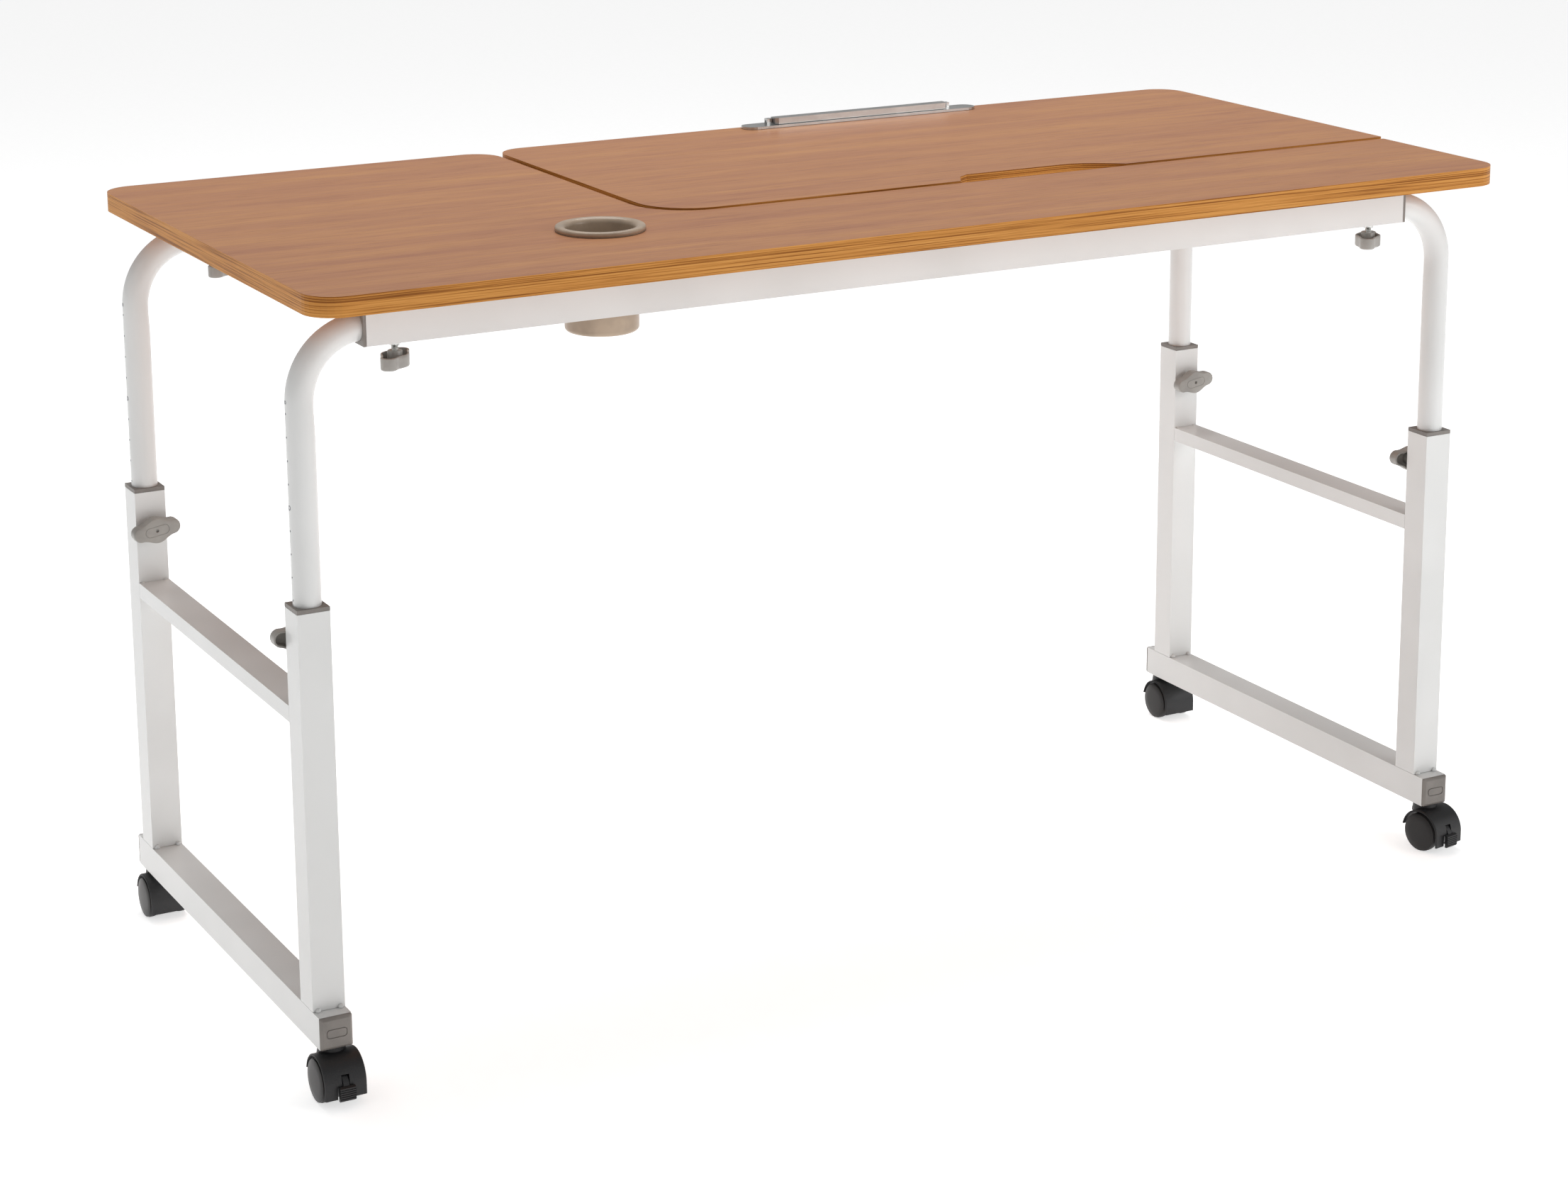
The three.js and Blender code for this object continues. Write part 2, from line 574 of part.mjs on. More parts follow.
for (const side of sides) {
  const x = side.sign * leg.x;
  addPiece(`${side.name}_foot_bar`, footBar(side), whitePaint);
  const barEnd = leg.y - leg.width / 2 - GAP;
  const bar = hollowAlongY(-barEnd, barEnd, x, leg.width, crossbar.bottomZ, crossbar.height, leg.wall);
  addPiece(`${side.name}_crossbar`, toGeometry(bar), whitePaint);
  for (const row of rows) {
    const corner = `${side.name}_${row.name}`;
    const y = row.sign * leg.y;
    addPiece(`${corner}_leg`, legTube(side, row), whitePaint);
    addPiece(`${corner}_leg_sleeve`, legSleeve(side, row), greyPlastic);
    addPiece(`${corner}_foot_cap`, footCap(side, row), greyPlastic);
    addPiece(`${corner}_bent_tube`, toGeometry(toSolid(bentTube(side, row))), whitePaint);
    addPiece(`${corner}_beam_bushing`, beamBushing(side, row), greyPlastic);

    // height knob on the leg's inner face, its stud pointing outwards into the leg
    const faceY = y - row.sign * (leg.width / 2);
    const legReach = leg.width / 2 - tube.r - GAP;
    const heightKnob = knobSolid(legKnob.standoff, legReach);
    heightKnob.rotateZ(THREE.MathUtils.degToRad(legKnob.turn));
    heightKnob.rotateX((row.sign * Math.PI) / 2).translate(x, faceY, legKnob.z);
    addPiece(`${corner}_height_knob`, heightKnob, knobPlastic);

    // width knob under the beam, its stud pointing up into the beam
    const beamReach = tube.axisZ - tube.r - beamBottom - GAP;
    const widthKnob = knobSolid(beamKnob.standoff, beamReach);
    widthKnob.rotateZ(THREE.MathUtils.degToRad(beamKnob.turn));
    widthKnob.rotateX(Math.PI).translate(side.sign * beamKnob.x, y, beamBottom);
    addPiece(`${corner}_width_knob`, widthKnob, knobPlastic);

    const turn = corner === 'right_front' ? 10 : 0;
    addCaster(corner, x, row.sign * caster.stemY, turn, row.name === 'front');
  }
}

export default table;
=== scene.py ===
"""Overbed table: looks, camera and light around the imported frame. Metres, +Z up, front at -Y."""
import json
import math

import bpy
from mathutils import Matrix, Vector, noise


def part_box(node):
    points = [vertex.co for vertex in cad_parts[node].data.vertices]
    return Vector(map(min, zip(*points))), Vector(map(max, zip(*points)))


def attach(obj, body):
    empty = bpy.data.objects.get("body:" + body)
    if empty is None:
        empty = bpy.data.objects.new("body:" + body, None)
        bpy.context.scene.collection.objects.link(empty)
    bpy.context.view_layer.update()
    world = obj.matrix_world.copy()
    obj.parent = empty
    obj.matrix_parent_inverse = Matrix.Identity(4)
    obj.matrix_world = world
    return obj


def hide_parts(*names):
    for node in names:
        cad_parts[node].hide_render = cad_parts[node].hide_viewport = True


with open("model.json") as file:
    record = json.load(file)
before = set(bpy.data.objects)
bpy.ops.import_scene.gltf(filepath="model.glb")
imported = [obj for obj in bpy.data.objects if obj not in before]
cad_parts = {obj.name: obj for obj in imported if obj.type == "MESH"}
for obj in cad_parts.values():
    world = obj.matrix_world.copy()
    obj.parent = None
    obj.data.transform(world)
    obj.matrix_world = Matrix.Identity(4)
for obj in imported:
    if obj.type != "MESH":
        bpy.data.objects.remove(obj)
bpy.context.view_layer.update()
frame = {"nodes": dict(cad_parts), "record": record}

MM = 0.001

# ---- driving values that aren't read from the frame ----
# The wheel faces are measured along the axle from the caster's middle. The pedal pivot is measured
# ahead of the axle, and up from the floor. ON_AXIS is the radius that stands for zero.
BEND_R = 60 * MM
HOOD_SHELL = 1.8 * MM
KNOB_TURN_HEIGHT = math.radians(9)
KNOB_TURN_WIDTH = math.radians(-50)
WING_FLAT = 16 * MM
WING_END_R = 7.5 * MM
WING_BULGE = 5 * MM
WING_THICKNESS = 11 * MM
HUB_R = 6.5 * MM
STUD_R = 3 * MM
CASTER_TRAIL = 10 * MM
CASTER_TURN = {"right_front": math.radians(10)}
MARK_STEP = 20.5 * MM
TUBE_SIDES = 56
BEND_STEPS = 36
AXLE_HEIGHT = 20 * MM
HOOD_R = 23.7 * MM
WHEEL_INNER_FACE = 10.6 * MM
WHEEL_OUTER_FACE = 19.6 * MM
PEDAL_PIVOT_AHEAD = 12 * MM
PEDAL_PIVOT_HEIGHT = 25 * MM
ON_AXIS = 0.01 * MM

CORNERS = [(side, row) for side in ("left", "right") for row in ("front", "rear")]
SIGN = {"left": -1, "right": 1, "front": -1, "rear": 1}


# ---- node materials ----
class Recipe:
    """A material being built: adds nodes, links them and ends in one Principled shader."""

    def __init__(self, name, roughness, metallic=0.0, coat=0.0, specular=0.5):
        self.material = bpy.data.materials.new(name)
        self.material.use_nodes = True
        self.tree = self.material.node_tree
        self.shader = self.tree.nodes["Principled BSDF"]
        self.shader.inputs["Roughness"].default_value = roughness
        self.shader.inputs["Metallic"].default_value = metallic
        self.shader.inputs["Coat Weight"].default_value = coat
        self.shader.inputs["Coat Roughness"].default_value = 0.12
        self.shader.inputs["Specular IOR Level"].default_value = specular
        self.coords = self.tree.nodes.new("ShaderNodeTexCoord")

    def link(self, source, target):
        self.tree.links.new(source, target)

    def stretched(self, scale, rotation=(0, 0, 0)):
        mapping = self.tree.nodes.new("ShaderNodeMapping")
        mapping.inputs["Scale"].default_value = scale
        mapping.inputs["Rotation"].default_value = rotation
        self.link(self.coords.outputs["Object"], mapping.inputs["Vector"])
        return mapping.outputs["Vector"]

    def noise(self, vector, scale, detail=4.0, roughness=0.55, distortion=0.0):
        node = self.tree.nodes.new("ShaderNodeTexNoise")
        node.inputs["Scale"].default_value = scale
        node.inputs["Detail"].default_value = detail
        node.inputs["Roughness"].default_value = roughness
        node.inputs["Distortion"].default_value = distortion
        self.link(vector, node.inputs["Vector"])
        return node.outputs["Fac"]

    def ramp(self, factor, stops):
        node = self.tree.nodes.new("ShaderNodeValToRGB")
        elements = node.color_ramp.elements
        while len(elements) < len(stops):
            elements.new(0.5)
        for element, (position, colour) in zip(elements, stops):
            element.position = position
            element.color = (*colour, 1)
        self.link(factor, node.inputs["Fac"])
        return node.outputs["Color"]

    def mix(self, factor, a, b, blend="MIX"):
        node = self.tree.nodes.new("ShaderNodeMix")
        node.data_type = "RGBA"
        node.blend_type = blend
        for value, socket in ((factor, node.inputs[0]), (a, node.inputs[6]), (b, node.inputs[7])):
            if isinstance(value, bpy.types.NodeSocket):
                self.link(value, socket)
            elif isinstance(value, (int, float)):
                socket.default_value = value
            else:
                socket.default_value = (*value, 1)
        return node.outputs[2]

    def math(self, operation, a, b=0.5):
        node = self.tree.nodes.new("ShaderNodeMath")
        node.operation = operation
        for value, socket in ((a, node.inputs[0]), (b, node.inputs[1])):
            if isinstance(value, bpy.types.NodeSocket):
                self.link(value, socket)
            else:
                socket.default_value = value
        return node.outputs[0]

    def spread(self, factor, low, high):
        node = self.tree.nodes.new("ShaderNodeMapRange")
        node.inputs["To Min"].default_value = low
        node.inputs["To Max"].default_value = high
        self.link(factor, node.inputs["Value"])
        return node.outputs["Result"]

    def bump(self, height, strength, distance):
        node = self.tree.nodes.new("ShaderNodeBump")
        node.inputs["Strength"].default_value = strength
        node.inputs["Distance"].default_value = distance
        self.link(height, node.inputs["Height"])
        self.link(node.outputs["Normal"], self.shader.inputs["Normal"])

    def finish(self, colour=None, roughness=None):
        if colour is not None:
            self.link(colour, self.shader.inputs["Base Color"])
        if roughness is not None:
            self.link(roughness, self.shader.inputs["Roughness"])
        return self.material


def wood_laminate():
    """Tan wood print with mauve streaks on the flat faces, and an orange oak band on the edges."""
    r = Recipe("wood_laminate", 0.38, specular=0.07)
    broad = r.noise(r.stretched((0.9, 11, 1)), 3.2, 5, 0.6, 0.35)
    streaks = r.noise(r.stretched((1.6, 46, 1)), 4.0, 6, 0.62, 0.25)
    pores = r.noise(r.stretched((5, 190, 1)), 5.0, 4, 0.62, 0.15)
    mottle = r.math("ADD", r.math("MULTIPLY", broad, 0.62), r.math("MULTIPLY", streaks, 0.38))
    face = r.ramp(mottle, [
        (0.34, (0.395, 0.182, 0.106)),
        (0.46, (0.455, 0.218, 0.117)),
        (0.54, (0.485, 0.236, 0.119)),
        (0.66, (0.535, 0.268, 0.124)),
    ])
    fine = r.ramp(pores, [(0.34, (0.70, 0.66, 0.66)), (0.44, (0.95, 0.94, 0.94)), (0.52, (1, 1, 1))])
    face = r.mix(0.8, face, fine, "MULTIPLY")
    band_lines = r.noise(r.stretched((1.1, 1.1, 215)), 4.5, 3, 0.55, 0.10)
    band_fine = r.noise(r.stretched((5, 5, 420)), 4.0, 3, 0.6, 0.1)
    band = r.ramp(band_lines, [
        (0.38, (0.270, 0.095, 0.020)),
        (0.44, (0.440, 0.180, 0.040)),
        (0.50, (0.590, 0.255, 0.060)),
        (0.64, (0.680, 0.320, 0.085)),
    ])
    band = r.mix(0.6, band, r.ramp(band_fine, [(0.38, (0.7, 0.62, 0.55)), (0.5, (1, 1, 1))]), "MULTIPLY")
    split = r.tree.nodes.new("ShaderNodeSeparateXYZ")
    r.link(r.coords.outputs["Normal"], split.inputs[0])
    upright = r.math("ABSOLUTE", split.outputs["Z"])
    on_face = r.math("GREATER_THAN", upright, 0.9)
    on_band = r.math("LESS_THAN", upright, 0.25)
    arris = (0.80, 0.50, 0.26)
    colour = r.mix(on_face, r.mix(on_band, arris, band), face)
    r.bump(r.math("ADD", pores, r.math("MULTIPLY", streaks, 0.4)), 0.10, 0.0004)
    return r.finish(colour, r.spread(streaks, 0.30, 0.44))


def powder_coat():
    """Glossy white powder coat with the faint orange peel of the real finish."""
    r = Recipe("white_powder_coat", 0.32, coat=0.25)
    peel = r.noise(r.stretched((1, 1, 1)), 420, 3, 0.5)
    cloud = r.noise(r.stretched((1, 1, 1)), 9, 2, 0.5)
    colour = r.ramp(cloud, [(0.35, (0.725, 0.727, 0.716)), (0.65, (0.775, 0.777, 0.768))])
    r.bump(peel, 0.10, 0.0003)
    return r.finish(colour, r.spread(cloud, 0.26, 0.38))


def moulded(name, base, roughness, grain=900, depth=0.15, coat=0.0, specular=0.5):
    """Moulded plastic: a fine spark-eroded skin and a little cloudiness in the colour."""
    r = Recipe(name, roughness, coat=coat, specular=specular)
    skin = r.noise(r.stretched((1, 1, 1)), grain, 2, 0.6)
    cloud = r.noise(r.stretched((1, 1, 1)), 35, 3, 0.55)
    dark = tuple(c * 0.86 for c in base)
    light = tuple(min(1, c * 1.12) for c in base)
    r.bump(skin, depth, 0.0004)
    colour = r.ramp(cloud, [(0.35, dark), (0.65, light)])
    return r.finish(colour, r.spread(cloud, roughness * 0.85, roughness * 1.15))


def brushed(name, base, along, roughness):
    """Brushed metal: fine scratches along one axis."""
    r = Recipe(name, roughness, metallic=1.0)
    scale = tuple(8 if axis == along else 900 for axis in "xyz")
    lines = r.noise(r.stretched(scale), 3.0, 4, 0.6)
    blotch = r.noise(r.stretched((1, 1, 1)), 40, 3, 0.6)
    colour = r.ramp(blotch, [(0.3, tuple(c * 0.85 for c in base)), (0.7, base)])
    r.bump(lines, 0.12, 0.0002)
    return r.finish(colour, r.spread(lines, roughness * 0.75, roughness * 1.35))


MATERIALS = {
    "wood_laminate": wood_laminate(),
    "white_paint": powder_coat(),
    "grey_plastic": moulded("grey_plastic", (0.215, 0.195, 0.178), 0.46),
    "knob_plastic": moulded("knob_plastic", (0.330, 0.315, 0.292), 0.36, depth=0.22, coat=0.1),
    "greige_plastic": moulded(
        "greige_plastic", (0.430, 0.332, 0.245), 0.30, grain=300, depth=0.03, specular=0.35),
    "black_plastic": moulded("black_plastic", (0.0085, 0.0085, 0.0095), 0.42, grain=1100, depth=0.55),
    "wheel_plastic": moulded(
        "wheel_plastic", (0.014, 0.0125, 0.012), 0.38, grain=700, depth=0.08, specular=0.3),
    "tread_rubber": moulded("tread_rubber", (0.012, 0.011, 0.011), 0.55, grain=800, depth=0.2),
    "brushed_metal": brushed("brushed_metal", (0.56, 0.56, 0.55), "x", 0.30),
    "zinc_steel": brushed("zinc_steel", (0.68, 0.68, 0.66), "z", 0.24),
    "print_ink": moulded("print_ink", (0.055, 0.065, 0.095), 0.5, depth=0.02),
}


# ---- mesh helpers ----
def make_piece(name, verts, faces, material, body, replaces=(), smooth_deg=35, moves=None):
    mesh = bpy.data.meshes.new(name)
    points = [moves @ Vector(v) for v in verts] if moves else verts
    mesh.from_pydata(points, [], faces)
    mesh.validate()
    mesh.update()
    piece = bpy.data.objects.new(name, mesh)
    bpy.context.scene.collection.objects.link(piece)
    mesh.materials.append(MATERIALS[material])
    mesh.shade_smooth()
    mesh.set_sharp_from_angle(angle=math.radians(smooth_deg))
    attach(piece, body)
    if replaces:
        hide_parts(*replaces)
    return piece


def bevel(piece, width, segments=3, angle_deg=30):
    modifier = piece.modifiers.new("edge_rounding", "BEVEL")
    modifier.width = width
    modifier.segments = segments
    modifier.limit_method = "ANGLE"
    modifier.angle_limit = math.radians(angle_deg)
    modifier.harden_normals = True
    return modifier


def loft(rings, closed=False):
    """Skins equal rings of points in order. Both ends get a fan, unless the rings close on themselves."""
    count = len(rings[0])
    verts = [v for ring in rings for v in ring]
    faces = []
    spans = len(rings) if closed else len(rings) - 1
    for i in range(spans):
        a = i * count
        b = ((i + 1) % len(rings)) * count
        for j in range(count):
            k = (j + 1) % count
            faces.append((a + j, a + k, b + k, b + j))
    if not closed:
        for ring_index, flip in ((0, True), (len(rings) - 1, False)):
            start = ring_index * count
            centre = sum((Vector(v) for v in rings[ring_index]), Vector()) / count
            verts.append(centre)
            middle = len(verts) - 1
            for j in range(count):
                k = (j + 1) % count
                fan = (start + j, start + k, middle)
                faces.append(fan[::-1] if flip else fan)
    return verts, faces


def turned(profile, segments=64):
    """A solid of revolution about Z from (radius, height) points that start and end near the axis."""
    rings = []
    for radius, height in profile:
        ring = []
        for i in range(segments):
            angle = 2 * math.pi * i / segments
            ring.append(Vector((radius * math.cos(angle), radius * math.sin(angle), height)))
        rings.append(ring)
    return loft(rings)


def join_parts(*parts):
    verts, faces = [], []
    for part_verts, part_faces in parts:
        start = len(verts)
        verts.extend(part_verts)
        faces.extend(tuple(start + i for i in face) for face in part_faces)
    return verts, faces


def moved(part, matrix):
    verts, faces = part
    return [matrix @ Vector(v) for v in verts], faces


def middle(node):
    low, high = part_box(node)
    return (low + high) / 2


# ---- carried-over CAD nodes ----
def dress_cad_nodes():
    slots = {row["node"]: row["material_slot"] for row in frame["record"]["subparts"]}
    rounding = {
        "wood_laminate": 0.9 * MM,
        "white_paint": 0.5 * MM,
        "grey_plastic": 0.6 * MM,
        "brushed_metal": 0.4 * MM,
    }
    for name, node in frame["nodes"].items():
        slot = slots[name]
        node.data.materials.clear()
        node.data.materials.append(MATERIALS[slot])
        node.data.shade_smooth()
        node.data.set_sharp_from_angle(angle=math.radians(35))
        if slot in rounding:
            bevel(node, rounding[slot])


# ---- bent tubes and their height marks ----
def bent_tube(side, row):
    node = f"{side}_{row}_bent_tube"
    low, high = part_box(node)
    sign = SIGN[side]
    y = (low.y + high.y) / 2
    radius = (high.y - low.y) / 2
    outer_x = low.x if sign < 0 else high.x
    inner_x = high.x if sign < 0 else low.x
    x = outer_x - sign * radius
    axis_z = high.z - radius
    bend_z = axis_z - BEND_R
    stations = [(x, low.z, 0.0), (x, bend_z - 40 * MM, 0.0)]
    stations += [(x, bend_z - step * MM, 0.0) for step in (24, 16, 10, 5)]
    for i in range(BEND_STEPS + 1):
        angle = (i / BEND_STEPS) * math.pi / 2
        bend_x = x - sign * BEND_R * (1 - math.cos(angle))
        stations.append((bend_x, bend_z + BEND_R * math.sin(angle), angle))
    stations.append((inner_x, axis_z, math.pi / 2))
    rings = []
    for px, pz, angle in stations:
        outward = Vector((sign * math.cos(angle), 0, math.sin(angle)))
        # the bender's shoe leaves a slight flat on the inner side where the bend starts
        along = (pz - bend_z + 6 * MM) / (13 * MM)
        dent = 0.9 * MM * math.exp(-along * along) if angle < 0.5 else 0.0
        ring = []
        for j in range(TUBE_SIDES):
            turn = 2 * math.pi * j / TUBE_SIDES * -sign
            facing = math.cos(turn)
            r = radius - dent * max(0.0, -facing) ** 3
            ring.append(Vector((px, y, pz)) + outward * r * facing + Vector((0, r * math.sin(turn), 0)))
        rings.append(ring)
    verts, faces = loft(rings)
    make_piece(f"{node}_skin", verts, faces, "white_paint", f"{side}_uprights", [node])
    height_marks(side, row, x, y, radius, bend_z)


def wrapped_ring(x, y, z, sign, tube_r, inner, outer, segments=20):
    """A flat ring or dot of ink laid on the tube's outward side."""
    lift = 0.12 * MM
    rings = []
    for radius, height in ((inner, 0), (outer, 0), (outer, lift), (inner, lift)):
        ring = []
        for i in range(segments):
            angle = 2 * math.pi * i / segments
            dy = radius * math.cos(angle)
            dz = radius * math.sin(angle)
            around = dy / tube_r
            reach = tube_r + height
            ring.append(Vector((x + sign * reach * math.cos(around), y + reach * math.sin(around), z + dz)))
        rings.append(ring)
    return loft(rings, closed=True)


def height_marks(side, row, x, y, tube_r, top_z):
    sign = SIGN[side]
    parts = [wrapped_ring(x, y, top_z + 1.5 * MM, sign, tube_r, 1.1 * MM, 1.6 * MM)]
    for i in range(9):
        z = top_z - 8.5 * MM - i * MARK_STEP
        if i % 5 == 4:
            parts.append(wrapped_ring(x, y, z, sign, tube_r, 1.6 * MM, 2.2 * MM, 28))
        else:
            parts.append(wrapped_ring(x, y, z, sign, tube_r, 0.1 * MM, 0.8 * MM, 14))
    verts, faces = join_parts(*parts)
    make_piece(f"{side}_{row}_height_marks", verts, faces, "print_ink", f"{side}_uprights")


# ---- clamp knobs ----
def wing_ring(inset, z, steps=10):
    """The knob's outline: round ends and a swelling centre, pulled in by inset."""
    end_r = WING_END_R - inset
    points = []
    for i in range(steps + 1):
        angle = math.pi / 2 + math.pi * i / steps
        points.append((-WING_FLAT + end_r * math.cos(angle), end_r * math.sin(angle)))
    side = [(i / 16) * WING_FLAT for i in range(-15, 16)]
    swell = [end_r + WING_BULGE * (0.5 + 0.5 * math.cos(math.pi * px / WING_FLAT)) for px in side]
    points += [(px, -h) for px, h in zip(side, swell)]
    for i in range(steps + 1):
        angle = -math.pi / 2 + math.pi * i / steps
        points.append((WING_FLAT + end_r * math.cos(angle), end_r * math.sin(angle)))
    points += [(px, h) for px, h in zip(reversed(side), reversed(swell))]
    return [Vector((px, py, z)) for px, py in points]


def pulled_to_oval(ring, half_length, radius, z):
    """Moves each outline point along its direction from the centre onto an oblong with round ends."""
    moved_ring = []
    flat = half_length - radius
    for point in ring:
        direction = Vector((point.x, point.y)).normalized()
        low, high = 0.0, half_length * 2
        for _ in range(30):
            reach = (low + high) / 2
            px = abs(direction.x * reach)
            py = direction.y * reach
            outside = math.hypot(max(0.0, px - flat), py) > radius
            low, high = (low, reach) if outside else (reach, high)
        moved_ring.append(Vector((direction.x * low, direction.y * low, z)))
    return moved_ring


def knob_parts(standoff):
    back = standoff + 3 * MM
    front = back + WING_THICKNESS
    base = wing_ring(0, front)
    groove = 0.35 * MM
    rings = [
        wing_ring(2.4 * MM, front - 2.0 * MM),
        wing_ring(2.0 * MM, front - 2.4 * MM),
        wing_ring(1.9 * MM, back + 0.5 * MM),
        wing_ring(1.6 * MM, back),
        wing_ring(0.5 * MM, back),
        wing_ring(0.05 * MM, back + 0.5 * MM),
        wing_ring(0.0, back + 3 * MM),
        wing_ring(0.0, front - 1.6 * MM),
        wing_ring(0.15 * MM, front - 0.8 * MM),
        wing_ring(0.5 * MM, front - 0.25 * MM),
        wing_ring(1.1 * MM, front),
        pulled_to_oval(base, 12.2 * MM, 5.0 * MM, front),
        pulled_to_oval(base, 12.0 * MM, 4.8 * MM, front - groove),
        pulled_to_oval(base, 11.6 * MM, 4.4 * MM, front - groove),
        pulled_to_oval(base, 11.4 * MM, 4.2 * MM, front),
        pulled_to_oval(base, 1.7 * MM, 1.69 * MM, front),
        pulled_to_oval(base, 1.45 * MM, 1.44 * MM, front - 0.3 * MM),
        pulled_to_oval(base, 1.4 * MM, 1.39 * MM, front - 6 * MM),
    ]
    wing = loft(rings)
    hub = turned([
        (ON_AXIS, standoff),
        (HUB_R - 1.0 * MM, standoff),
        (HUB_R - 0.3 * MM, standoff + 0.3 * MM),
        (HUB_R, standoff + 1.0 * MM),
        (HUB_R + 0.4 * MM, front - 2.2 * MM),
        (ON_AXIS, front - 2.2 * MM),
    ], 40)
    return join_parts(wing, hub)


def threaded_stud(start, end):
    pitch = 1.25 * MM
    profile = [(ON_AXIS, start)]
    z = start
    while z < end - pitch:
        profile += [(STUD_R - 0.35 * MM, z), (STUD_R, z + pitch / 2)]
        z += pitch
    profile += [(STUD_R - 0.35 * MM, end), (ON_AXIS, end)]
    return turned(profile, 24)


def hex_nut(start, thickness, across):
    """A chamfered hexagon nut about Z, with its washer face on the clamped surface."""
    corner = across / math.sqrt(3)
    rings = []
    for radius, height, round_share in (
        (across / 2 + 1.2 * MM, start, 1.0),
        (across / 2 + 1.2 * MM, start + 0.7 * MM, 1.0),
        (corner, start + 0.8 * MM, 0.0),
        (corner, start + thickness - 0.6 * MM, 0.0),
        (across / 2 * 0.96, start + thickness, 1.0),
    ):
        ring = []
        for i in range(48):
            angle = 2 * math.pi * i / 48
            within = (angle % (math.pi / 3)) - math.pi / 6
            hexagon = (across / 2) / math.cos(within)
            reach = round_share * radius + (1 - round_share) * min(hexagon, radius)
            ring.append(Vector((reach * math.cos(angle), reach * math.sin(angle), height)))
        rings.append(ring)
    return loft(rings)


def clamp_knob(node, body, parent_body, place, standoff, stud_reach, nut_thickness):
    verts, faces = knob_parts(standoff)
    make_piece(f"{node}_wing", verts, faces, "knob_plastic", body, [node], 40, place)
    verts, faces = threaded_stud(-stud_reach, standoff + 1 * MM)
    make_piece(f"{node}_stud", verts, faces, "zinc_steel", body, (), 40, place)
    verts, faces = hex_nut(0.02 * MM, nut_thickness, 10 * MM)
    make_piece(f"{node}_nut", verts, faces, "zinc_steel", parent_body, (), 30, place)


def corner_knobs(side, row):
    sign = SIGN[row]
    node = f"{side}_{row}_height_knob"
    low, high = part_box(f"{side}_{row}_leg")
    knob_middle = middle(node)
    face_y = low.y if sign > 0 else high.y
    turn = Matrix.Rotation(KNOB_TURN_HEIGHT, 4, "Z")
    seat = Matrix.Translation((knob_middle.x, face_y, knob_middle.z))
    place = seat @ Matrix.Rotation(sign * math.pi / 2, 4, "X") @ turn
    clamp_knob(node, node, f"{side}_base", place, 5 * MM, 2 * MM, 3.4 * MM)

    node = f"{side}_{row}_width_knob"
    beam_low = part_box(f"{row}_beam")[0]
    knob_middle = middle(node)
    turn = Matrix.Rotation(KNOB_TURN_WIDTH, 4, "Z")
    seat = Matrix.Translation((knob_middle.x, knob_middle.y, beam_low.z))
    place = seat @ Matrix.Rotation(math.pi, 4, "X") @ turn
    clamp_knob(node, node, "top", place, 9 * MM, 2.6 * MM, 4.2 * MM)


# ---- casters ----
def hood_path(radius, axle_z, steps=40):
    """The hood's side view: up behind the wheel, over the top and straight down in front."""
    points = [(radius, axle_z + 4 * MM)]
    start = math.asin(4 * MM / radius)
    for i in range(1, steps + 1):
        angle = start + (math.pi - start) * i / steps
        points.append((radius * math.cos(angle), axle_z + radius * math.sin(angle)))
    points += [(-radius, axle_z - drop * MM) for drop in (3, 6, 9, 11)]
    return points


def hood_skin(half, outer_r, axle_z, braked):
    """One sheet with rolled-in sides. The braked one has a slot for the arm and a notch for the pad."""
    columns = [(-half, -1.6 * MM), (-half + 0.3 * MM, -0.7 * MM), (-half + 1.0 * MM, 0.0)]
    columns += [(x * MM, 0.0) for x in (-16, -12, -7.8, -5.6, -3.6, 0, 3.6, 5.6, 7.8, 12, 16)]
    columns += [(half - 1.0 * MM, 0.0), (half - 0.3 * MM, -0.7 * MM), (half, -1.6 * MM)]
    verts, faces = [], []
    paths = [hood_path(outer_r + drop, axle_z) for _, drop in columns]
    rows = len(paths[0])
    for (x, _), path in zip(columns, paths):
        verts.extend(Vector((x, y, z)) for y, z in path)
    for c in range(len(columns) - 1):
        off_centre = abs((columns[c][0] + columns[c + 1][0]) / 2)
        for i in range(rows - 1):
            y, z = paths[c][i]
            in_slot = off_centre < 3.6 * MM and z < axle_z + 10.5 * MM
            in_notch = off_centre < 7.8 * MM and z < axle_z + 1.0 * MM
            if braked and y < -10 * MM and (in_slot or in_notch):
                continue
            a = c * rows + i
            faces.append((a, a + 1, a + rows + 1, a + rows))
    return verts, faces


